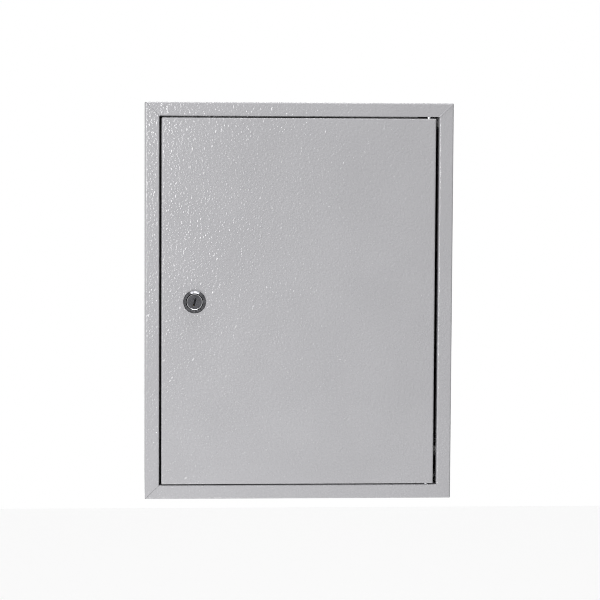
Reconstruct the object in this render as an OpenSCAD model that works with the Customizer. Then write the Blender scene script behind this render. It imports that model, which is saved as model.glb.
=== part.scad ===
// Wall enclosure in folded sheet steel: a welded body with a mitred front rim, a door inset in the rim
// and hung on two pins, a cam lock, and a mounting plate on studs.
// X runs to the right, Y into the wall and Z up. The origin is the middle of the four wall holes,
// on the back face, so the front of the rim is at Y = -body_d.

/* [Body] */
// Width over the side walls
body_w = 310; // [220:1:500]
// Height over the top and bottom walls
body_h = 400; // [280:1:700]
// Depth from the wall to the front of the rim
body_d = 220; // [120:1:300]
// Thickness of the body and door sheet
sheet_t = 1.2; // [1:0.1:1.5]
// Inside radius of the folds in the body and door sheet
fold_r = 0.5; // [0.4:0.1:1.4]
// Width of the rim at the two sides
rim_side = 14.4; // [13:0.1:24]
// Width of the rim at the top and bottom
rim_end = 13.9; // [13:0.1:24]
// How far the rim turns back into the body
return_d = 16; // [14:0.5:22]
// Width of the door stop turned in behind the door
stop_w = 9; // [7:0.5:12]
// Open joint along the rim's mitres
mitre_gap = 0.3; // [0.1:0.1:0.8]
// Height of the tabs that weld the top and bottom to the wrap
weld_tab = 10; // [8:0.5:10]
// Rounding of the ground edges along the side walls' tops and bottoms
ground_r = 1.1; // [0.5:0.1:1.4]

/* [Wall holes] */
// Distance of the wall holes from the body's sides
wall_hole_side = 20; // [18:0.5:25]
// Distance of the wall holes from the body's top and bottom
wall_hole_end = 20; // [17:0.5:25]
// Diameter of the wall holes
wall_hole_d = 8.5; // [6:0.5:9]

/* [Door] */
// Gap between the door and the rim on the lock side
gap_lock = 2.2; // [1.5:0.1:3]
// Gap between the door and the rim on the hinge side
gap_hinge = 3.3; // [3:0.1:4.5]
// Gap above the door
gap_top = 1.6; // [1:0.1:2.5]
// Gap below the door
gap_bottom = 1; // [0.6:0.1:2]
// Radius of the door's four corners, seen from the front
door_corner_r = 1.8; // [1.2:0.1:2.2]
// Thickness of the foam seal on the door stop
seal_t = 2.5; // [2:0.1:3]

/* [Hinges] */
// Distance from the door's edge to the hinge pins
hinge_inset = 7; // [6.5:0.1:7.5]
// Distance from the door's front to the hinge pins
hinge_depth = 5; // [4.8:0.1:5.4]
// Diameter of the hinge pins
pin_d = 4; // [3:0.5:4.5]
// Thickness of the hinge brackets inside the door
bracket_t = 2; // [1.5:0.1:2]
// Length of the hinge brackets along the door's edge
bracket_l = 21; // [16:1:40]
// Height of the hinge brackets' welded leg
bracket_h = 14; // [8:1:24]

/* [Lock] */
// Distance from the door's edge to the lock
lock_inset = 33.2; // [28:0.1:50]
// Diameter of the lock's bezel
bezel_d = 23; // [22:0.5:26]
// Height of the bezel in front of the door
bezel_h = 3.4; // [2.8:0.1:4]
// Width of the bezel's flat lip around the plug
bezel_lip = 2.1; // [1:0.1:2.4]
// Diameter of the lock's barrel
barrel_d = 18.8; // [18:0.1:19.5]
// Distance across the barrel's two flats
barrel_flats = 16; // [15:0.1:17]
// Diameter of the plug's head
plug_head_d = 14.4; // [13.5:0.1:15]
// Diameter of the plug behind its head
plug_d = 12.8; // [12:0.1:13]
// Height of the keyway
keyway_h = 8.4; // [6:0.1:8.5]
// Width of the keyway
keyway_w = 2; // [1.6:0.1:2.4]
// Lean of the keyway from upright, in degrees
keyway_lean = 14; // [0:1:20]
// Size of the plug's square tail
tail_s = 7; // [6:0.1:7.5]
// Thickness of the cam
cam_t = 2; // [1.5:0.1:3]
// Width of the cam's arm
cam_w = 14; // [10:1:16]
// How far the turned cam reaches behind the door stop
cam_grip = 7; // [4:0.5:8]
// Thickness of the nut behind the door
lock_nut_t = 4; // [3:0.5:5]
// Size of that nut across its flats
lock_nut_af = 24; // [22:1:26]

/* [Mounting plate] */
// How far the plate's sides stay inside the wall holes
plate_in_x = 10; // [8:0.5:30]
// How far the plate's top and bottom stay inside the wall holes
plate_in_z = 12.5; // [8:0.5:40]
// Thickness of the plate
plate_t = 2; // [1.5:0.1:3]
// Radius of the plate's corners
plate_corner_r = 5; // [2:0.5:10]
// Distance of the plate from the back of the body
plate_lift = 10; // [8:0.5:30]
// Distance of the studs from the plate's edges
stud_inset = 14; // [12:1:30]
// Thread diameter of the plate's studs and of the earth studs
stud_d = 6; // [5:1:6]
// Free thread beyond the nuts
stud_spare = 5; // [2:0.5:12]

/* [Cable entries] */
// Diameter of the cable entry holes in the bottom
entry_d = 29; // [20:1:32]
// Distance between the cable entries
entry_pitch = 75; // [50:1:80]
// How far the grommets hang below the bottom
grommet_drop = 10; // [8:0.5:12]

/* [Earth studs] */
// Height of the earth studs above the bottom of the body
earth_up = 52; // [40:1:120]
// Distance of the body's earth stud behind the rim's front
earth_back = 62; // [40:1:80]
// Distance of the door's earth stud from the hinge pins
earth_in = 32; // [25:1:80]

/* [Hidden] */
$fn = 48;
bite = 1; // what a cutter runs past the sheet that it cuts
lap = 0.2; // how far one piece of a sheet's outline reaches into the next
touch = 0.3; // rest distance between the door and its seal, and between other close pieces
running = 0.05; // radial clearance of what turns or slides in a hole
weld_gap = 0.15; // room beside the top and bottom sheets, next to the side walls

fold_o = fold_r + sheet_t; // outside radius of a fold
front = -body_d; // front of the rim and of the door
stop_y = front + return_d; // rear face of the door stop
open_l = -body_w / 2 + rim_side; // edges of the rim's opening
open_r = body_w / 2 - rim_side;
open_t = body_h / 2 - rim_end;
open_b = -open_t;

door_l = open_l + gap_lock;
door_r = open_r - gap_hinge;
door_t = open_t - gap_top;
door_b = open_b + gap_bottom;
door_w = door_r - door_l;
door_h = door_t - door_b;
door_d = return_d - sheet_t - seal_t - touch; // depth of the door, which stops just short of its seal
door_mid_x = (door_l + door_r) / 2;
door_mid_z = (door_t + door_b) / 2;

hinge_x = door_r - hinge_inset;
hinge_y = front + hinge_depth;
hinge_sweep = norm([hinge_inset, door_d - hinge_depth]); // what the door's rear corner swings through
notch_x = hinge_x - hinge_sweep - touch; // the stop and seal end here, clear of that corner

lock_x = door_l + lock_inset;
lock_z = door_mid_z;
barrel_end = return_d + touch; // how far behind the door's front the barrel ends
cam_y = barrel_end + touch; // the cam's front face, measured from the door's front
cam_l = lock_x - (open_l + stop_w) + cam_grip;
hub_r = tail_s / sqrt(2) + 4; // the cam's round end
lock_washer_t = 1;
cam_washer_t = 1;
cam_screw_d = 4;
cam_screw_l = 8;
cam_screw_head = [8.5, 2.6]; // diameter and height
wafer_t = 0.9;
wafer_pitch = 2.2;
wafer_n = 5;

wall_hole_x = body_w - 2 * wall_hole_side;
wall_hole_z = body_h - 2 * wall_hole_end;
plate_w = wall_hole_x - 2 * plate_in_x;
plate_h = wall_hole_z - 2 * plate_in_z;
plate_y = -sheet_t - plate_lift - plate_t; // front face of the plate
stud_x = plate_w / 2 - stud_inset;
stud_z = plate_h / 2 - stud_inset;
nut_t = 5;
nut_af = stud_d * 5 / 3;
washer_t = 1.6;
washer_d = stud_d * 2;
stack_t = washer_t + nut_t; // one washer and one nut
earth_stack_t = 3 * washer_t + nut_t; // three washers and one nut
sleeve_d = 12;

PAINT = [0.73, 0.73, 0.74];
ZINC = [0.75, 0.76, 0.77];
STEEL = [0.62, 0.63, 0.65];
CHROME = [0.85, 0.86, 0.88];
FOAM = [0.07, 0.07, 0.08];
RUBBER = [0.16, 0.16, 0.17];
NYLON = [0.9, 0.9, 0.87];
BRASS = [0.78, 0.63, 0.32];

// ---------- sheet metal

function toward(a, b) = [sign(b.x - a.x), sign(b.y - a.y)];

// Cross-section of a sheet folded along a path of square turns. The path is the middle of the sheet.
module folded(path, t = sheet_t, r = fold_r) {
    m = r + t / 2;
    last = len(path) - 1;
    for (i = [0 : last - 1]) {
        u = toward(path[i], path[i + 1]);
        a = path[i] + u * (i == 0 ? 0 : m);
        b = path[i + 1] - u * (i == last - 1 ? 0 : m);
        half = [abs(u.y), abs(u.x)] * t / 2;
        low = [min(a.x, b.x), min(a.y, b.y)] - half;
        high = [max(a.x, b.x), max(a.y, b.y)] + half;
        translate(low) square(high - low);
    }
    for (i = [1 : last - 1]) {
        k = toward(path[i], path[i - 1]) + toward(path[i], path[i + 1]);
        translate(path[i] + k * m) quarter_ring(r, r + t, -k);
    }
}

// Quarter of a flat ring, in the quadrant that the signs give.
module quarter_ring(inner, outer, signs) {
    intersection() {
        difference() {
            circle(outer);
            circle(inner);
        }
        translate([signs.x < 0 ? -outer : 0, signs.y < 0 ? -outer : 0]) square(outer);
    }
}

// A shape drawn in X and Z, drawn out along Y from y0 to y1.
module along_y(y0, y1) {
    translate([0, y1, 0]) rotate([90, 0, 0]) linear_extrude(y1 - y0) children();
}

// A shape drawn in Y and Z, drawn out along X from x0 to x1.
module along_x(x0, x1) {
    translate([x0, 0, 0]) rotate([90, 0, 90]) linear_extrude(x1 - x0) children();
}

// A rectangle with round corners.
module round_rect(w, h, r) {
    square([w - 2 * r, h], center = true);
    square([w, h - 2 * r], center = true);
    for (x = [-1, 1], z = [-1, 1]) translate([x * (w / 2 - r), z * (h / 2 - r)]) circle(r);
}

// A box given by two opposite corners.
module span(low, high) {
    translate(low) cube(high - low);
}

// The part of the front that belongs to the top sheet: a trapezium along the mitres of the rim.
module mitre_wedge(shift) {
    past = 4;
    deep = rim_side + stop_w + past;
    slope = rim_end / rim_side;
    along_y(front - bite, stop_y + bite)
        translate([0, body_h / 2 + shift])
            polygon([
                [-body_w / 2 - past, past * slope],
                [body_w / 2 + past, past * slope],
                [body_w / 2 - deep, -deep * slope],
                [-body_w / 2 + deep, -deep * slope]
            ]);
}

// ---------- body

// Cutter that rounds the body's four long edges, which are welded and ground.
module ground_edges() {
    along_y(front - bite, bite) difference() {
        square([body_w + 2 * bite, body_h + 2 * bite], center = true);
        round_rect(body_w, body_h, ground_r);
    }
}

// The left wall, back and right wall in one folded sheet, with the rim's two sides.
module side_wrap() {
    left = -body_w / 2 + sheet_t / 2;
    turn = open_l - sheet_t / 2;
    rim = front + sheet_t / 2;
    stop = stop_y - sheet_t / 2;
    color(PAINT) difference() {
        linear_extrude(body_h, center = true) folded([
            [open_l + stop_w, stop], [turn, stop], [turn, rim], [left, rim], [left, -sheet_t / 2],
            [-left, -sheet_t / 2], [-left, rim], [-turn, rim], [-turn, stop_y]
        ]);
        for (s = [0, 1]) mirror([0, 0, s]) mitre_wedge(-mitre_gap / 2);
        for (x = [-1, 1], z = [-1, 1])
            translate([x * wall_hole_x / 2, bite, z * wall_hole_z / 2])
                rotate([90, 0, 0]) cylinder(d = wall_hole_d, h = sheet_t + 2 * bite);
        ground_edges();
    }
}

// The top sheet, with its part of the rim and tabs that are spot-welded inside the wrap.
module end_wall() {
    top = body_h / 2 - sheet_t / 2;
    turn = open_t + sheet_t / 2;
    rim = front + sheet_t / 2;
    stop = stop_y - sheet_t / 2;
    rear = -sheet_t * 1.5;
    side = body_w / 2 - sheet_t - weld_gap;
    tab_x = body_w / 2 - sheet_t * 1.5;
    tab_y0 = stop_y + fold_o;
    tab_y1 = rear - sheet_t / 2 - fold_o;
    corner_y = -sheet_t - 0.6 * fold_r; // clear of the round inside the wrap's rear folds
    profile = [
        [rear, body_h / 2 - weld_tab], [rear, top], [rim, top], [rim, turn], [stop, turn],
        [stop, open_t - stop_w]
    ];
    difference() {
        union() {
            intersection() {
                along_x(-body_w / 2, body_w / 2) folded(profile);
                union() {
                    mitre_wedge(mitre_gap / 2);
                    span([fold_o - side, stop_y + bite / 2, 0], [side - fold_o, bite, body_h]);
                }
            }
            for (s = [-1, 1])
                along_y(tab_y0, tab_y1)
                    folded([[s * tab_x, body_h / 2 - weld_tab], [s * tab_x, top], [s * (tab_x - 2 * fold_o), top]]);
            // The tabs' folds are filled flush with weld, which is ground level with the sheet.
            for (m = [0, 1])
                mirror([m, 0, 0]) along_x(side - fold_o - lap, side) folded([[stop_y, top], [corner_y, top]]);
        }
        // The stop ends short of the hinge, where the door's rear corner swings through.
        span([notch_x, stop_y - fold_o, open_t - stop_w - bite], [body_w / 2, stop_y + bite, open_t + fold_o]);
        // Hole for the hinge pin.
        translate([hinge_x, hinge_y, open_t - bite])
            cylinder(d = pin_d + 2 * running, h = sheet_t + 2 * bite);
        ground_edges();
    }
}

module top_wall() {
    color(PAINT) end_wall();
}

module bottom_wall() {
    color(PAINT) difference() {
        mirror([0, 0, 1]) end_wall();
        for (i = [-1 : 1])
            translate([i * entry_pitch, front / 2, -body_h / 2 - bite])
                cylinder(d = entry_d, h = sheet_t + 2 * bite);
    }
}

// Foam tape on the door stop: the lock side, and the top and bottom up to the hinge.
module door_seal() {
    inset = fold_r + 0.2;
    width = stop_w - inset - touch;
    color(FOAM) along_y(stop_y - sheet_t - seal_t, stop_y - sheet_t) difference() {
        translate([open_l + inset, open_b + inset])
            square([notch_x - open_l - inset, open_t - open_b - 2 * inset]);
        translate([open_l + inset + width, open_b + inset + width])
            square([body_w, open_t - open_b - 2 * inset - 2 * width]);
    }
}

// Rubber grommet pressed into a cable entry hole, closed by stepped rings that are cut off to fit a cable.
module cable_grommet(i) {
    wall = 1.1;
    flange_t = 2;
    neck_r = entry_d / 2 - 0.1;
    fall = (grommet_drop - flange_t) / 3;
    rings = [neck_r - 2.5, neck_r - 5.5, neck_r - 8.5];
    color(RUBBER) translate([i * entry_pitch, front / 2, -body_h / 2]) rotate_extrude() difference() {
        union() {
            translate([0, -flange_t]) square([neck_r + 3, flange_t]);
            translate([0, -flange_t]) square([neck_r, flange_t + sheet_t]);
            translate([0, sheet_t]) square([neck_r + 1.5, 1.6]);
            for (k = [0 : 2]) translate([0, -flange_t - (k + 1) * fall]) square([rings[k], fall + 0.1]);
        }
        translate([0, wall - flange_t]) square([neck_r - wall, grommet_drop]);
        for (k = [0 : 2])
            translate([0, wall - flange_t - (k + 1) * fall]) square([rings[k] - wall, grommet_drop]);
    }
}

// ---------- fasteners

// Everything below stands on the XY plane and points along +Z.
module threaded_stud(length) {
    chamfer = stud_d / 10;
    cylinder(d = stud_d, h = length - chamfer);
    translate([0, 0, length - chamfer]) cylinder(d1 = stud_d, d2 = stud_d - 2 * chamfer, h = chamfer);
}

module washer(outer, inner, t) {
    difference() {
        cylinder(d = outer, h = t);
        translate([0, 0, -bite]) cylinder(d = inner, h = t + 2 * bite);
    }
}

// Hexagon nut with chamfered corners.
module hex_nut(af, t, bore) {
    corner = af / cos(30);
    rise = (corner - af) / 2 * tan(30);
    difference() {
        intersection() {
            cylinder(d = corner, h = t, $fn = 6);
            rotate_extrude() polygon([
                [0, 0], [af / 2, 0], [corner / 2, rise], [corner / 2, t - rise], [af / 2, t], [0, t]
            ]);
        }
        translate([0, 0, -bite]) cylinder(d = bore, h = t + 2 * bite);
    }
}

// Places one copy at each stud of the plate, pointing to the front from the given depth.
module at_studs(y) {
    for (x = [-1, 1], z = [-1, 1]) translate([x * stud_x, y, z * stud_z]) rotate([90, 0, 0]) children();
}

// ---------- mounting plate

module mounting_plate() {
    color(ZINC) difference() {
        along_y(plate_y, plate_y + plate_t) round_rect(plate_w, plate_h, plate_corner_r);
        at_studs(plate_y + plate_t + bite) cylinder(d = stud_d + 0.6, h = plate_t + 2 * bite);
    }
}

module plate_studs() {
    color(STEEL) at_studs(-sheet_t) threaded_stud(plate_lift + plate_t + stack_t + stud_spare);
}

module plate_sleeves() {
    color(NYLON) at_studs(-sheet_t) washer(sleeve_d, stud_d + 0.4, plate_lift);
}

module plate_washers() {
    color(ZINC) at_studs(plate_y) washer(washer_d, stud_d + 0.4, washer_t);
}

module plate_nuts() {
    color(ZINC) at_studs(plate_y - washer_t) hex_nut(nut_af, nut_t, stud_d + 2 * running);
}

// ---------- earth studs

// The body's earth stud stands on the inside of the right wall.
module at_body_earth() {
    translate([body_w / 2 - sheet_t, front + earth_back, -body_h / 2 + earth_up])
        rotate([0, -90, 0]) children();
}

// The door's earth stud stands on the inside of the door, near its lower hinge.
module at_door_earth() {
    translate([hinge_x - earth_in, front + sheet_t, -body_h / 2 + earth_up])
        rotate([-90, 0, 0]) children();
}

module earth_washers() {
    for (i = [0 : 2]) translate([0, 0, i * washer_t]) washer(washer_d, stud_d + 0.4, washer_t);
}

module earth_nut() {
    translate([0, 0, 3 * washer_t]) hex_nut(nut_af, nut_t, stud_d + 2 * running);
}

module body_earth_stud() {
    color(STEEL) at_body_earth() threaded_stud(earth_stack_t + stud_spare);
}

module body_earth_washers() {
    color(ZINC) at_body_earth() earth_washers();
}

module body_earth_nut() {
    color(ZINC) at_body_earth() earth_nut();
}

module door_earth_stud() {
    color(STEEL) at_door_earth() threaded_stud(earth_stack_t + stud_spare);
}

module door_earth_washers() {
    color(ZINC) at_door_earth() earth_washers();
}

module door_earth_nut() {
    color(ZINC) at_door_earth() earth_nut();
}

// ---------- door

// A rectangle on the X axis whose two corners at y = 0 are round.
module round_front(w, d, r) {
    translate([-w / 2, r]) square([w, d - r]);
    translate([-w / 2 + r, 0]) square([w - 2 * r, d]);
    for (s = [-1, 1]) translate([s * (w / 2 - r), r]) circle(r);
}

// A block with round edges all round its front and round corners.
module pan_block(w, h, d, r_edge, r_corner) {
    intersection() {
        linear_extrude(h, center = true) round_front(w, d, r_edge);
        rotate([0, 90, 0]) linear_extrude(w, center = true) round_front(h, d, r_edge);
        along_y(0, d) round_rect(w, h, r_corner);
    }
}

// The barrel's cross-section: a circle with two flats.
module barrel_section(clear = 0) {
    intersection() {
        circle(barrel_d / 2 + clear);
        square([barrel_flats + 2 * clear, 2 * barrel_d], center = true);
    }
}

module door_panel() {
    inner_corner = max(door_corner_r - sheet_t, 0.2);
    color(PAINT) difference() {
        translate([door_mid_x, front, door_mid_z]) difference() {
            pan_block(door_w, door_h, door_d, fold_o, door_corner_r);
            translate([0, sheet_t, 0])
                pan_block(door_w - 2 * sheet_t, door_h - 2 * sheet_t, door_d, fold_r, inner_corner);
        }
        translate([lock_x, 0, lock_z]) along_y(front - bite, front + sheet_t + bite) barrel_section(0.2);
        translate([hinge_x, hinge_y, door_b - bite]) cylinder(d = pin_d + 2 * running, h = door_h + 2 * bite);
    }
}

// ---------- hinges, drawn for the top and mirrored for the bottom

bracket_r = 0.5; // inside radius of the bracket's bend
clip_t = 0.8;

module hinge_bracket(edge) {
    top = edge - sheet_t;
    mid_z = top - bracket_t / 2;
    x1 = door_r - sheet_t;
    color(ZINC) difference() {
        along_y(front + sheet_t + fold_r + touch, front + door_d - 1) folded([
            [x1 - bracket_l, mid_z], [x1 - bracket_t / 2, mid_z], [x1 - bracket_t / 2, top - bracket_h]
        ], bracket_t, bracket_r);
        translate([hinge_x, hinge_y, top - bracket_t - bite])
            cylinder(d = pin_d + 2 * running, h = bracket_t + 2 * bite);
    }
}

// Headed pin, pushed up through the bracket, the door's edge and the rim's return.
module hinge_pin(edge, gap) {
    head_t = 1.5;
    head_d = min(pin_d + 2.2, 2 * (min(hinge_depth, hinge_inset - bracket_t - bracket_r) - sheet_t - touch));
    seat = edge - sheet_t - bracket_t;
    tip = edge + gap + sheet_t + touch + clip_t + 1;
    color(ZINC) translate([hinge_x, hinge_y, 0]) {
        translate([0, 0, seat - head_t]) cylinder(d = head_d, h = head_t);
        translate([0, 0, seat]) cylinder(d = pin_d, h = tip - seat - 0.5);
        translate([0, 0, tip - 0.5]) cylinder(d1 = pin_d, d2 = pin_d - 1, h = 0.5);
    }
}

// Push-on ring that holds the pin above the rim's return.
module hinge_clip(edge, gap) {
    clip_d = min(pin_d + 5, 2 * (hinge_depth - sheet_t - fold_r - touch));
    color(STEEL) translate([hinge_x, hinge_y, edge + gap + sheet_t + touch])
        washer(clip_d, pin_d + 2 * running, clip_t);
}

// ---------- lock, drawn on the Z axis with the door's front at z = 0 and the room in front at +z

module at_lock() {
    translate([lock_x, front, lock_z]) rotate([90, 0, 0]) children();
}

head_floor = 0.6; // bottom of the plug head's counterbore
head_top = bezel_h - 0.7; // face of the plug, sunk in the bezel

module lock_housing() {
    bore = plug_d / 2 + running;
    counterbore = plug_head_d / 2 + running;
    rim_r = bezel_d / 2;
    rim_h = 0.7;
    ease = 0.25;
    lip_r = counterbore + bezel_lip;
    color(CHROME) at_lock() {
        // A wide cone that runs up from a thin rim to the lip round the plug.
        rotate_extrude() polygon([
            [bore, 0], [rim_r - ease, 0], [rim_r, ease], [rim_r, rim_h], [lip_r + ease, bezel_h - ease / 2],
            [lip_r - ease, bezel_h], [counterbore + ease, bezel_h], [counterbore, bezel_h - ease],
            [counterbore, head_floor], [bore, head_floor]
        ]);
        translate([0, 0, -barrel_end]) linear_extrude(barrel_end) difference() {
            barrel_section();
            circle(bore);
        }
    }
}

module lock_washer() {
    color(ZINC) at_lock() translate([0, 0, -sheet_t - lock_washer_t]) linear_extrude(lock_washer_t) difference() {
        circle(bezel_d / 2 - 0.5);
        barrel_section(0.1);
    }
}

module lock_nut() {
    color(ZINC) at_lock() translate([0, 0, -sheet_t - lock_washer_t - lock_nut_t])
        hex_nut(lock_nut_af, lock_nut_t, barrel_d + 2 * running);
}

// A slot with round ends, upright before it leans.
module keyway(w, h) {
    rotate(-keyway_lean) {
        square([w, h - w], center = true);
        for (s = [-1, 1]) translate([0, s * (h - w) / 2]) circle(w / 2);
    }
}

// Places one copy at each wafer slot of the plug.
module at_wafers() {
    for (i = [0 : wafer_n - 1]) translate([0, 0, -2 - i * wafer_pitch]) rotate(-keyway_lean) children();
}

module lock_plug() {
    color(STEEL) at_lock() difference() {
        union() {
            translate([0, 0, head_floor + running]) cylinder(d = plug_head_d, h = head_top - head_floor - running);
            translate([0, 0, -cam_y]) cylinder(d = plug_d, h = cam_y + head_top - running);
            translate([-tail_s / 2, -tail_s / 2, -cam_y - cam_t + running]) cube([tail_s, tail_s, cam_t]);
        }
        // Sunk oval round the keyway's mouth, then the keyway itself.
        translate([0, 0, head_top - 0.7]) linear_extrude(bite) keyway(keyway_w + 2.2, keyway_h + 1.8);
        translate([0, 0, -13]) linear_extrude(13 + bezel_h) keyway(keyway_w, keyway_h);
        at_wafers() translate([0, 0, -wafer_t - 2 * running])
            linear_extrude(wafer_t + 2 * running) square([keyway_h + 0.9, plug_d + bite], center = true);
        translate([0, 0, -cam_y - cam_t - bite]) cylinder(d = cam_screw_d + 2 * running, h = 5 + bite);
    }
}

// Thin brass wafers in the plug, each with a window for the key.
module lock_wafers() {
    color(BRASS) at_lock() at_wafers() translate([0, 0, -wafer_t - running]) linear_extrude(wafer_t) difference() {
        intersection() {
            circle(plug_d / 2 - running);
            square([keyway_h + 0.7, plug_d], center = true);
        }
        square([keyway_w + 0.4, keyway_h - 0.4], center = true);
    }
}

// Flat cam, hanging straight down when the lock is open and turned to the left when it is shut.
module lock_cam() {
    color(ZINC) at_lock() translate([0, 0, -cam_y - cam_t]) linear_extrude(cam_t) difference() {
        union() {
            circle(hub_r);
            translate([-cam_w / 2, -cam_l + 3]) square([cam_w, cam_l - 3]);
            translate([-cam_w / 2 + 3, -cam_l]) square([cam_w - 6, cam_l]);
            for (s = [-1, 1]) translate([s * (cam_w / 2 - 3), -cam_l + 3]) circle(3);
        }
        square(tail_s + 2 * running, center = true);
    }
}

module cam_washer() {
    color(STEEL) at_lock() translate([0, 0, -cam_y - cam_t - cam_washer_t])
        washer(hub_r * 2 - 4, cam_screw_d + 0.3, cam_washer_t);
}

module cam_screw() {
    seat = -cam_y - cam_t - cam_washer_t;
    color(ZINC) at_lock() difference() {
        union() {
            translate([0, 0, seat]) cylinder(d = cam_screw_d, h = 4 + cam_washer_t);
            translate([0, 0, seat - cam_screw_head.y]) cylinder(d = cam_screw_head.x, h = cam_screw_head.y);
        }
        for (a = [0, 90]) rotate(a) translate([-2.5, -0.5, seat - cam_screw_head.y - bite]) cube([5, 1, bite + 1.4]);
    }
}

// ---------- nodes

side_wrap();
top_wall();
bottom_wall();
door_seal();
mounting_plate();
plate_studs();
plate_sleeves();
plate_washers();
plate_nuts();
body_earth_stud();
body_earth_washers();
body_earth_nut();
cable_grommet(-1);  // cable_grommet_left
cable_grommet(0);  // cable_grommet_middle
cable_grommet(1);  // cable_grommet_right
door_panel();
hinge_bracket(door_t);  // hinge_bracket_top
mirror([0, 0, 1]) hinge_bracket(-door_b);  // hinge_bracket_bottom
hinge_pin(door_t, gap_top);  // hinge_pin_top
mirror([0, 0, 1]) hinge_pin(-door_b, gap_bottom);  // hinge_pin_bottom
hinge_clip(door_t, gap_top);  // hinge_clip_top
mirror([0, 0, 1]) hinge_clip(-door_b, gap_bottom);  // hinge_clip_bottom
door_earth_stud();
door_earth_washers();
door_earth_nut();
lock_housing();
lock_washer();
lock_nut();
lock_plug();
lock_wafers();
lock_cam();
cam_washer();
cam_screw();
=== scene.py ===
import math

import bmesh
import bpy
from mathutils import Matrix, Vector


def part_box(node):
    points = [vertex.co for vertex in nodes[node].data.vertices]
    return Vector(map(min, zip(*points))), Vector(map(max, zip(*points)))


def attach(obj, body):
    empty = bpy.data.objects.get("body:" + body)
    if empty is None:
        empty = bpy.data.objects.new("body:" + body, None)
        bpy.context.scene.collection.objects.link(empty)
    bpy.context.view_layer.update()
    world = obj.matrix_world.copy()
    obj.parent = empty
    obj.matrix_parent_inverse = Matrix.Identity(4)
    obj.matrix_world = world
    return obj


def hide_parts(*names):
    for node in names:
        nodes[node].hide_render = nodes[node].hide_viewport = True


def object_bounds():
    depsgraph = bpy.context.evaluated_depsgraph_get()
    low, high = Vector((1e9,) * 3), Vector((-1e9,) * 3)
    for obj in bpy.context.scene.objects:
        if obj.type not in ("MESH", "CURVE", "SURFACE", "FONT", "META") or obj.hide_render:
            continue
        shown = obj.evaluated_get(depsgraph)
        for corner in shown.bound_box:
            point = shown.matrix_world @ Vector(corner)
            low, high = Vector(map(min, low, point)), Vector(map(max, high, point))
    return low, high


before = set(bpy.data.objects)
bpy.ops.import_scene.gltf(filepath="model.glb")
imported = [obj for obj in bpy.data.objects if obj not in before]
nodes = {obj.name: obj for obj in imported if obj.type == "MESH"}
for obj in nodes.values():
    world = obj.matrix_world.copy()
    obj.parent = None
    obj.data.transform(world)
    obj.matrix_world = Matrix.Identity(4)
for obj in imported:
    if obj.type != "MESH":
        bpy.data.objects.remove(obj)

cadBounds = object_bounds()
low = Vector(cadBounds[0])
scene = bpy.context.scene
print("frame loaded:", len(nodes), "nodes")


def corners(node):
    # the lowest and the highest corner of a node's box
    return [Vector(corner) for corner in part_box(node)]


class Sock:
    # an output socket; an expression on it adds Math nodes
    def __init__(self, shader, out):
        self.shader = shader
        self.out = out

    def combine(self, operation, a, b):
        return self.shader.add("ShaderNodeMath", {"operation": operation}, {0: a, 1: b})

    def __add__(self, other):
        return self.combine("ADD", self, other)

    def __sub__(self, other):
        return self.combine("SUBTRACT", self, other)

    def __rsub__(self, other):
        return self.combine("SUBTRACT", other, self)

    def __mul__(self, other):
        return self.combine("MULTIPLY", self, other)

    def sine(self):
        return self.combine("SINE", self, 0)

    def most(self, other):
        return self.combine("MAXIMUM", self, other)

    __radd__ = __add__
    __rmul__ = __mul__


class Shader:
    # the node tree of one material, or of the world
    def __init__(self, name, library="materials"):
        self.owner = getattr(bpy.data, library).new(name)
        self.owner.use_nodes = True
        self.tree = self.owner.node_tree
        self.tree.nodes.clear()
        if library == "materials":
            self.place = self.add("ShaderNodeTexCoord", {}, {}, "Object")

    def add(self, kind, settings, inputs, out=0):
        node = self.tree.nodes.new(kind)
        for key, value in settings.items():
            setattr(node, key, value)
        for key, value in inputs.items():
            if isinstance(value, Sock):
                self.tree.links.new(value.out, node.inputs[key])
            else:
                node.inputs[key].default_value = value
        if node.outputs:
            return Sock(self, node.outputs[out])

    def noise(self, size, detail=2.0, where=None):
        # size is the width of a blotch in metres
        inputs = {"Vector": where or self.place, "Scale": 1 / size, "Detail": detail}
        return self.add("ShaderNodeTexNoise", {}, inputs, "Fac")

    def cells(self, size, out="Distance"):
        return self.add("ShaderNodeTexVoronoi", {}, {"Vector": self.place, "Scale": 1 / size}, out)

    def vector(self, operation, a, b=(0, 0, 0), out="Vector"):
        return self.add("ShaderNodeVectorMath", {"operation": operation}, {0: a, 1: b}, out)

    def fromAxis(self, center):
        # the arm from an axis along Y to the surface
        return self.vector("MULTIPLY", self.vector("SUBTRACT", self.place, center), (1, 0, 1))

    def soften(self, value, lowEnd, highEnd):
        inputs = {"Value": value, "From Min": lowEnd, "From Max": highEnd}
        return self.add("ShaderNodeMapRange", {"interpolation_type": "SMOOTHSTEP"}, inputs)

    def paint(self, color):
        return color if isinstance(color, Sock) else (*color, 1)

    def tint(self, amount, colorA, colorB):
        settings = {"data_type": "RGBA"}
        inputs = {0: amount, 6: self.paint(colorA), 7: self.paint(colorB)}
        return self.add("ShaderNodeMix", settings, inputs, 2)

    def finish(self, color, roughness, height=None, depth=None, **fixed):
        # fixed holds other sockets of the surface, by name
        inputs = {"Base Color": self.paint(color), "Roughness": roughness}
        inputs.update({key.replace("_", " "): value for key, value in fixed.items()})
        if height is not None:
            relief = {"Height": height, "Distance": depth, "Strength": 1.0}
            inputs["Normal"] = self.add("ShaderNodeBump", {}, relief, "Normal")
        return self.output(self.add("ShaderNodeBsdfPrincipled", {}, inputs, "BSDF"))

    def output(self, surface, kind="ShaderNodeOutputMaterial"):
        self.add(kind, {}, {"Surface": surface})
        return self.owner


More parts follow.
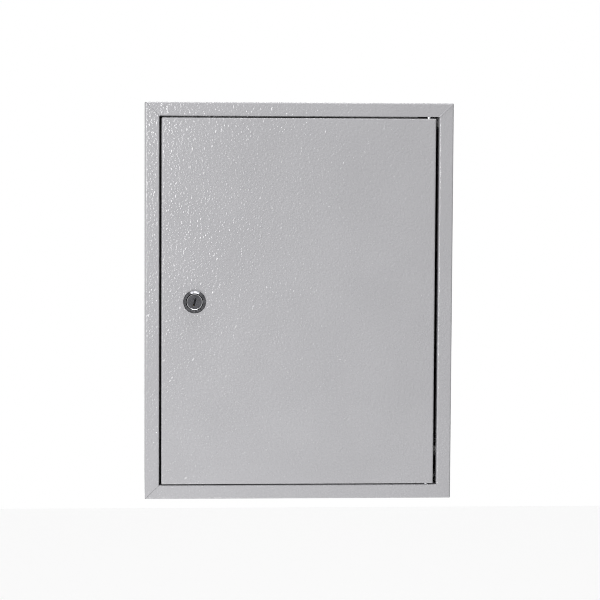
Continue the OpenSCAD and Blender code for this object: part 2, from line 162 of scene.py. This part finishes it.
powderCoat = {
    "light": (0.500, 0.496, 0.515),
    "dark": (0.470, 0.466, 0.484),
    "grain": 0.0024,         # width of a pebble in the coat
    "fine": 0.0011,
    "broad": 0.06,           # width of a cloud in its shade
    "depth": 0.00043,
    "roughness": (0.15, 0.04),   # least, and how much a cloud adds
}


def makePowderCoat():
    coat = Shader("powderCoat")
    pebble = coat.noise(powderCoat["grain"], 1.0)
    fine = coat.noise(powderCoat["fine"], 0.0)
    broad = coat.noise(powderCoat["broad"], 3.0)
    shade = coat.soften(fine * 0.5 + broad * 0.5, 0.35, 0.65)
    color = coat.tint(shade, powderCoat["dark"], powderCoat["light"])
    least, more = powderCoat["roughness"]
    return coat.finish(color, least + more * broad, pebble + fine * 0.15, powderCoat["depth"])


galvanised = {
    "light": (0.68, 0.69, 0.70),
    "dark": (0.50, 0.51, 0.525),
    "spangle": 0.012,        # width of a zinc crystal
    "grain": 0.0012,
    "depth": 0.00004,
}


def makeGalvanised():
    zinc = Shader("galvanised")
    spangle = zinc.cells(galvanised["spangle"], "Color")
    shade = zinc.add("ShaderNodeSeparateColor", {}, {"Color": spangle}, "Red")
    grain = zinc.noise(galvanised["grain"], 3.0)
    color = zinc.tint(shade * 0.8 + grain * 0.2, galvanised["dark"], galvanised["light"])
    roughness = 0.28 + 0.16 * shade + 0.08 * grain
    return zinc.finish(color, roughness, shade * 0.3 + grain * 0.15, galvanised["depth"], Metallic=1.0)


lockLow, lockHigh = corners("lock_housing")
lockCenter = (lockLow + lockHigh) / 2
darkChrome = {
    "light": (0.15, 0.15, 0.158),
    "dark": (0.06, 0.06, 0.065),
    "paintedRingHighlight": (0.42, 0.42, 0.43),    # painted highlight: a light ring round the plug, standing in for its edge catching the light
    "paintedRingRadius": 0.0080,
    "paintedRingBlend": 0.0002,
    "streak": 0.12,          # streaks run out from the axis
    "haze": 0.002,
    "depth": 0.00005,
}


def makeChrome():
    chrome = Shader("darkChrome")
    arm = chrome.fromAxis(tuple(lockCenter))
    streaks = chrome.noise(darkChrome["streak"], 4.0, chrome.vector("NORMALIZE", arm))
    haze = chrome.noise(darkChrome["haze"], 3.0)
    shade = chrome.soften(streaks * 0.7 + haze * 0.3, 0.35, 0.62)
    plating = chrome.tint(shade, darkChrome["dark"], darkChrome["light"])
    # painted highlight: inside the ring's radius the plating is mixed to light grey, a ring of light painted
    # round the plug
    radius = chrome.vector("LENGTH", arm, out="Value")
    inside = darkChrome["paintedRingRadius"] - darkChrome["paintedRingBlend"]
    paintedRingHighlight = chrome.soften(radius, darkChrome["paintedRingRadius"], inside)
    color = chrome.tint(paintedRingHighlight, plating, darkChrome["paintedRingHighlight"])
    return chrome.finish(color, 0.09 + 0.10 * haze, streaks + haze * 0.3, darkChrome["depth"], Metallic=1.0)


blackNickel = {
    "light": (0.088, 0.088, 0.094),
    "dark": (0.045, 0.045, 0.05),
    "turned": 0.0004,        # distance between two turning marks
    "haze": 0.002,
    "depth": 0.00003,
}


def makeNickel():
    nickel = Shader("blackNickel")
    radius = nickel.vector("LENGTH", nickel.fromAxis(tuple(lockCenter)), out="Value")
    turned = (radius * (2 * math.pi / blackNickel["turned"])).sine()
    haze = nickel.noise(blackNickel["haze"], 3.0)
    color = nickel.tint(haze * 0.8 + turned * 0.1 + 0.1, blackNickel["dark"], blackNickel["light"])
    return nickel.finish(color, 0.22 + 0.12 * haze, haze + turned * 0.08, blackNickel["depth"], Metallic=1.0)


sealFoam = {
    "light": (0.034, 0.034, 0.036),
    "dark": (0.012, 0.012, 0.013),
    "pore": 0.0008,
    "wave": 0.009,
    "depth": 0.0004,
}


def makeFoam():
    foam = Shader("sealFoam")
    pores = foam.cells(sealFoam["pore"])
    wave = foam.noise(sealFoam["wave"], 2.0)
    color = foam.tint(foam.soften(pores, 0.1, 0.6), sealFoam["dark"], sealFoam["light"])
    return foam.finish(color, 0.9 - 0.1 * wave, pores * 0.5 + wave, sealFoam["depth"])


plainFinishes = {
    # cloud and grain: width and detail; roughness: least, and how much a cloud adds
    "zincPlate": {
        "light": (0.74, 0.75, 0.77), "dark": (0.60, 0.61, 0.64), "cloud": (0.006, 3.0),
        "grain": (0.0006, 2.0), "roughness": (0.22, 0.14), "depth": 0.00002, "metallic": 1.0,
    },
    "turnedSteel": {
        "light": (0.56, 0.56, 0.575), "dark": (0.42, 0.42, 0.43), "cloud": (0.004, 3.0),
        "grain": (0.0005, 1.0), "roughness": (0.26, 0.12), "depth": 0.000015, "metallic": 1.0,
    },
    "stampedBrass": {
        "light": (0.56, 0.43, 0.21), "dark": (0.40, 0.29, 0.13), "cloud": (0.002, 3.0),
        "grain": (0.002, 3.0), "roughness": (0.28, 0.12), "depth": 0.00002, "metallic": 1.0,
    },
    "grommetRubber": {
        "light": (0.052, 0.052, 0.054), "dark": (0.030, 0.030, 0.032), "cloud": (0.012, 3.0),
        "grain": (0.0007, 2.0), "roughness": (0.5, 0.2), "depth": 0.00006, "metallic": 0.0,
    },
    "whiteNylon": {
        "light": (0.74, 0.73, 0.69), "dark": (0.66, 0.65, 0.60), "cloud": (0.004, 2.0),
        "grain": (0.0005, 2.0), "roughness": (0.38, 0.1), "depth": 0.00003, "metallic": 0.0,
    },
}


def makePlain(name):
    look = plainFinishes[name]
    shader = Shader(name)
    cloud = shader.noise(*look["cloud"])
    grain = shader.noise(*look["grain"])
    color = shader.tint(cloud, look["dark"], look["light"])
    least, more = look["roughness"]
    return shader.finish(color, least + more * cloud, grain, look["depth"], Metallic=look["metallic"])


coatFinish = makePowderCoat()
steelFinish = makePlain("turnedSteel")
chromeFinish = makeChrome()
finishes = {
    coatFinish: ["side_wrap", "top_wall", "bottom_wall", "door_panel"],
    makeGalvanised(): ["mounting_plate"],
    makePlain("zincPlate"): [
        "plate_washers", "plate_nuts", "body_earth_washers", "body_earth_nut", "hinge_bracket_top",
        "hinge_bracket_bottom", "hinge_pin_top", "hinge_pin_bottom", "door_earth_washers", "door_earth_nut",
        "lock_washer", "lock_nut", "lock_cam", "cam_screw",
    ],
    steelFinish: [
        "plate_studs", "body_earth_stud", "door_earth_stud", "hinge_clip_top", "hinge_clip_bottom",
        "cam_washer",
    ],
    chromeFinish: ["lock_housing"],
    makeNickel(): ["lock_plug"],
    makePlain("stampedBrass"): ["lock_wafers"],
    makeFoam(): ["door_seal"],
    makePlain("grommetRubber"): ["cable_grommet_left", "cable_grommet_middle", "cable_grommet_right"],
    makePlain("whiteNylon"): ["plate_sleeves"],
}
for finish, names in finishes.items():
    for name in names:
        nodes[name].data.materials.clear()
        nodes[name].data.materials.append(finish)
print("finishes:", len(finishes))


def newPiece(bm, name, body, finish, replaced=()):
    # a closed piece at the origin that rides on a body and stands for the CAD nodes it replaces
    bmesh.ops.recalc_face_normals(bm, faces=bm.faces[:])
    mesh = bpy.data.meshes.new(name)
    bm.to_mesh(mesh)
    bm.free()
    mesh.materials.append(finish)
    piece = bpy.data.objects.new(name, mesh)
    scene.collection.objects.link(piece)
    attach(piece, body)
    if replaced:
        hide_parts(*replaced)
    return piece


def smoothFlats(bm, angle):
    # smooth shading, with the edges sharper than the angle kept crisp
    for face in bm.faces:
        face.smooth = True
    for edge in bm.edges:
        edge.smooth = edge.is_manifold and edge.calc_face_angle(0) < math.radians(angle)


thread = {
    "pitch": 0.001,
    "depth": 0.0006,
    "foot": 0.15,            # height of the root's flat, in pitches
    "crest": (0.48, 0.67),   # start and end of the crest's flat, in pitches
    "steps": 24,             # in one turn
    "chamfer": 0.0009,
    "before": 2,             # turns below the rod's start, trimmed off again
}
stud = {"radius": 0.003}


def makeRod(radius, length):
    # a threaded rod from z = 0 to z = length: the groove's outline is swept up a screw, then trimmed
    bm = bmesh.new()
    pitch = thread["pitch"]
    root = radius - thread["depth"]
    crestStart, crestEnd = thread["crest"]
    outline = [(root, 0), (root, thread["foot"]), (radius, crestStart), (radius, crestEnd), (root, 1)]
    points = [bm.verts.new((r, 0, (h - thread["before"]) * pitch)) for r, h in outline]
    edges = [bm.edges.new(pair) for pair in zip(points, points[1:])]
    turns = math.ceil(length / pitch) + thread["before"] + 1
    bmesh.ops.spin(bm, geom=points + edges, cent=(0, 0, 0), axis=(0, 0, 1), angle=turns * 2 * math.pi,
                   dvec=(0, 0, pitch / thread["steps"]), steps=turns * thread["steps"])
    bmesh.ops.remove_doubles(bm, verts=bm.verts[:], dist=pitch / 100)
    for height, way in ((0, -1), (length, 1)):
        bmesh.ops.bisect_plane(bm, geom=bm.verts[:] + bm.edges[:] + bm.faces[:], dist=pitch / 1000,
                               plane_co=(0, 0, height), plane_no=(0, 0, way), clear_outer=True)
        rim = [edge for edge in bm.edges
               if edge.is_boundary and abs(edge.verts[0].co.z - height) < pitch / 100]
        bmesh.ops.holes_fill(bm, edges=rim, sides=0)
    for vert in bm.verts:
        limit = radius - max(0, vert.co.z - length + thread["chamfer"])
        reach = math.hypot(vert.co.x, vert.co.y)
        if reach > limit:
            vert.co.x *= limit / reach
            vert.co.y *= limit / reach
    smoothFlats(bm, 40)
    return bm


def makeStuds(node, body, toward, places):
    # a rod at each place, standing from there toward the tip
    lowest, highest = corners(node)
    length = abs((highest - lowest).dot(toward))
    rod = makeRod(stud["radius"], length)
    part = bpy.data.meshes.new("rod")
    rod.to_mesh(part)
    rod.free()
    bm = bmesh.new()
    turn = toward.to_track_quat("Z", "Y").to_matrix().to_4x4()
    for place in places:
        bm.from_mesh(part)
        bm.verts.ensure_lookup_table()
        bmesh.ops.transform(bm, matrix=Matrix.Translation(place) @ turn, verts=bm.verts[-len(part.vertices):])
    bpy.data.meshes.remove(part)
    newPiece(bm, node + "_threaded", body, steelFinish, [node])


def makePlateStuds():
    # one near each corner of the plate, on the back wall
    highest = corners("plate_studs")[1]
    x = highest.x - stud["radius"]
    z = highest.z - stud["radius"]
    places = [Vector((sx * x, highest.y, sz * z)) for sx in (-1, 1) for sz in (-1, 1)]
    makeStuds("plate_studs", "body", Vector((0, -1, 0)), places)


def makeEarthStuds():
    # one on the right wall and one on the back of the door
    lowest, highest = corners("body_earth_stud")
    middle = (lowest + highest) / 2
    makeStuds("body_earth_stud", "body", Vector((-1, 0, 0)), [Vector((highest.x, middle.y, middle.z))])
    lowest, highest = corners("door_earth_stud")
    middle = (lowest + highest) / 2
    makeStuds("door_earth_stud", "door", Vector((0, 1, 0)), [Vector((middle.x, lowest.y, middle.z))])


housing = {
    "bore": 0.00645,         # radii, from the axis out
    "counterbore": 0.00725,  # room for the plug's head
    "grooveInner": 0.0079,
    "grooveOuter": 0.0088,
    "barrel": 0.0094,
    "floor": 0.0006,         # the counterbore's floor, in front of the door
    "grooveDepth": 0.0013,
    "rounding": 0.00015,     # of the lip outside the groove
    "edgeWidth": 0.00025,    # the rounding at the cone's foot
    "edgeHeight": 0.0011,
    "ease": 0.00025,         # small chamfers
    "flats": 0.0160,         # distance across the barrel's flats
    "threadStart": 0.0014,   # behind the face of the door
    "threadPlain": 2,        # pitches left plain at the barrel's ends
    "threadShape": ((0, 0), (1, 0.35), (1, 0.5), (0, 0.85)),   # depth and height, as shares of the thread's
    "steps": 96,
}


def makeHousing():
    # the lock's shell, turned about its axis: bore, lip, groove, wide cone, edge and threaded barrel
    front = corners("door_panel")[0].y
    top = front - lockLow.y
    deep = lockHigh.y - front
    outer = (lockHigh.x - lockLow.x) / 2
    bore, head, barrel = housing["bore"], housing["counterbore"], housing["barrel"]
    grooveIn, grooveOut = housing["grooveInner"], housing["grooveOuter"]
    ease, rounding = housing["ease"], housing["rounding"]
    edgeWide, edgeHigh = housing["edgeWidth"], housing["edgeHeight"]
    outline = [   # radius, and height in front of the door
        (bore, -deep), (bore, housing["floor"]), (head, housing["floor"]),
        (head, top - ease), (head + ease, top), (grooveIn, top),
        ((grooveIn + grooveOut) / 2, top - housing["grooveDepth"]), (grooveOut - rounding, top - rounding),
        (grooveOut, top), (grooveOut + rounding, top), (grooveOut + 2 * rounding, top - rounding),
        (outer - edgeWide, edgeHigh), (outer - edgeWide / 4, edgeHigh - edgeWide), (outer, edgeHigh / 2),
        (outer, ease), (outer - ease, 0), (barrel, 0),
    ]
    pitch = thread["pitch"]
    for turn in range(int(deep / pitch) - housing["threadPlain"]):
        start = -housing["threadStart"] - turn * pitch
        for depth, height in housing["threadShape"]:
            outline.append((barrel - depth * thread["depth"], start - height * pitch))
    outline += [(barrel, -deep + ease), (barrel - ease, -deep)]
    bm = bmesh.new()
    points = [bm.verts.new((radius, 0, height)) for radius, height in outline]
    ring = [bm.edges.new(pair) for pair in zip(points, points[1:] + points[:1])]
    bmesh.ops.spin(bm, geom=points + ring, cent=(0, 0, 0), axis=(0, 0, 1), angle=2 * math.pi,
                   steps=housing["steps"], use_merge=True)
    bmesh.ops.remove_doubles(bm, verts=bm.verts[:], dist=pitch / 1000)
    half = housing["flats"] / 2
    for vert in bm.verts:
        if vert.co.z < -ease and math.hypot(vert.co.x, vert.co.y) > half:
            vert.co.x = max(-half, min(half, vert.co.x))
    place = Matrix.Translation((lockCenter.x, front, lockCenter.z)) @ Matrix.Rotation(math.pi / 2, 4, "X")
    bmesh.ops.transform(bm, matrix=place, verts=bm.verts[:])
    smoothFlats(bm, 30)
    newPiece(bm, "lock_housing_turned", "door", chromeFinish, ["lock_housing"])


welds = {
    "rimSides": 0.0144,      # width of the rim
    "rimEnds": 0.0139,
    "clear": 0.0013,         # room left at the rim's outer corner
    "width": 0.0006,
    "segments": 16,
    # how far a bead stands in front of the rim, and how much broader than round it is; one corner is open
    "beads": {"topLeft": (-0.0006, 0), "topRight": (0.00028, 1.4), "bottomRight": (0.00001, 0)},
}


def makeWelds():
    # a bead along the rim's mitre in each corner that has one
    lowest, highest = corners("side_wrap")
    bm = bmesh.new()
    for name, (proud, broader) in welds["beads"].items():
        sx = 1 if name.endswith("Right") else -1
        sz = 1 if name.startswith("top") else -1
        outer = Vector((sx * highest.x, lowest.y, sz * highest.z))
        inner = outer - Vector((sx * welds["rimSides"], 0, sz * welds["rimEnds"]))
        along = (inner - outer).normalized()
        outer += along * welds["clear"]
        halfWidth = welds["width"] / 2
        middle = (outer + inner) / 2 + Vector((0, halfWidth - proud, 0))
        turn = along.to_track_quat("Z", "Y").to_matrix().to_4x4()
        bead = bmesh.ops.create_cone(bm, cap_ends=True, segments=welds["segments"], radius1=halfWidth,
                                     radius2=halfWidth, depth=(inner - outer).length,
                                     matrix=Matrix.Translation(middle) @ turn)
        across = along.cross(Vector((0, 1, 0)))
        for vert in bead["verts"]:
            vert.co += across * ((vert.co - middle).dot(across) * broader)
    smoothFlats(bm, 40)
    newPiece(bm, "rim_corner_welds", "body", coatFinish)


makePlateStuds()
makeEarthStuds()
makeHousing()
makeWelds()
print("turned, threaded and welded pieces done")


camera = {
    "aim": (0.0009, -0.22, 0.0017),   # on the face of the door
    "distance": 2.5,
    "azimuth": -3.8,
    "elevation": 4.35,
    "roll": 0.311,
    "lens": 149.0,
}


def direction(azimuth, elevation):
    # azimuth 0 is straight in front, and positive turns to the right
    a, e = math.radians(azimuth), math.radians(elevation)
    return Vector((math.sin(a) * math.cos(e), -math.cos(a) * math.cos(e), math.sin(e)))


def makeCamera():
    data = bpy.data.cameras.new("camera")
    data.lens = camera["lens"]
    data.clip_end = 50
    eye = bpy.data.objects.new("camera", data)
    toward = direction(camera["azimuth"], camera["elevation"])
    roll = Matrix.Rotation(math.radians(camera["roll"]), 3, "Z").to_quaternion()
    turn = toward.to_track_quat("Z", "Y") @ roll
    eye.location = Vector(camera["aim"]) + toward * camera["distance"]
    eye.rotation_euler = turn.to_euler()
    scene.collection.objects.link(eye)
    scene.camera = eye


lamps = {
    # name: azimuth, elevation, distance, width, height, watts
    "key": (-22, 5.0, 2.0, 0.56, 0.48, 20.0),
    "under": (-30, -50, 1.0, 0.3, 0.3, 2.4),
    "overhead": (-2, 85, 1.5, 1.5, 0.4, 17.0),
    "back": (170, 25, 2.5, 1.5, 1.5, 14.0),
}


def makeLamps():
    center = Vector((0, low.y, 0))
    for name, (azimuth, elevation, distance, width, height, watts) in lamps.items():
        data = bpy.data.lights.new(name, "AREA")
        data.shape = "RECTANGLE"
        data.size = width
        data.size_y = height
        data.energy = watts
        lamp = bpy.data.objects.new(name, data)
        lamp.location = center + direction(azimuth, elevation) * distance
        lamp.rotation_euler = (lamp.location - center).to_track_quat("Z", "Y").to_euler()
        lamp.visible_camera = False
        scene.collection.objects.link(lamp)


surroundings = {"ambient": 0.20, "backdrop": 1.0, "floorDrop": 1.0, "floorSize": 12.0}
floorPaper = {"light": (0.93, 0.93, 0.93), "dark": (0.90, 0.90, 0.90), "blotch": 0.5, "glow": 0.7}


def seenDirectly(shader):
    # 1 on a ray from the camera, a mirror or a lens, and 0 on the rays that light the object
    path = shader.add("ShaderNodeLightPath", {}, {}, "Is Camera Ray")
    for name in ("Is Glossy Ray", "Is Transmission Ray"):
        path = path.most(Sock(shader, shader.tree.nodes["Light Path"].outputs[name]))
    return path


def makeWorld():
    studio = Shader("studio", "worlds")
    strength = studio.add("ShaderNodeMapRange", {}, {
        "Value": seenDirectly(studio), "To Min": surroundings["ambient"], "To Max": surroundings["backdrop"]})
    shade = studio.add("ShaderNodeBackground", {}, {"Color": (1, 1, 1, 1), "Strength": strength})
    scene.world = studio.output(shade, "ShaderNodeOutputWorld")


def makeFloor():
    bm = bmesh.new()
    bmesh.ops.create_grid(bm, x_segments=1, y_segments=1, size=surroundings["floorSize"] / 2,
                          matrix=Matrix.Translation((0, 0, low.z - surroundings["floorDrop"])))
    mesh = bpy.data.meshes.new("floor")
    bm.to_mesh(mesh)
    bm.free()
    floor = bpy.data.objects.new("floor", mesh)
    scene.collection.objects.link(floor)
    paper = Shader("floorPaper")
    color = paper.tint(paper.noise(floorPaper["blotch"], 2.0), floorPaper["dark"], floorPaper["light"])
    glow = seenDirectly(paper) * floorPaper["glow"]
    mesh.materials.append(paper.finish(color, 0.8, Emission_Color=(1, 1, 1, 1), Emission_Strength=glow))


makeCamera()
makeLamps()
makeWorld()
makeFloor()
scene.view_settings.view_transform = "Standard"
scene.cycles.filter_width = 1.0
print("studio done")
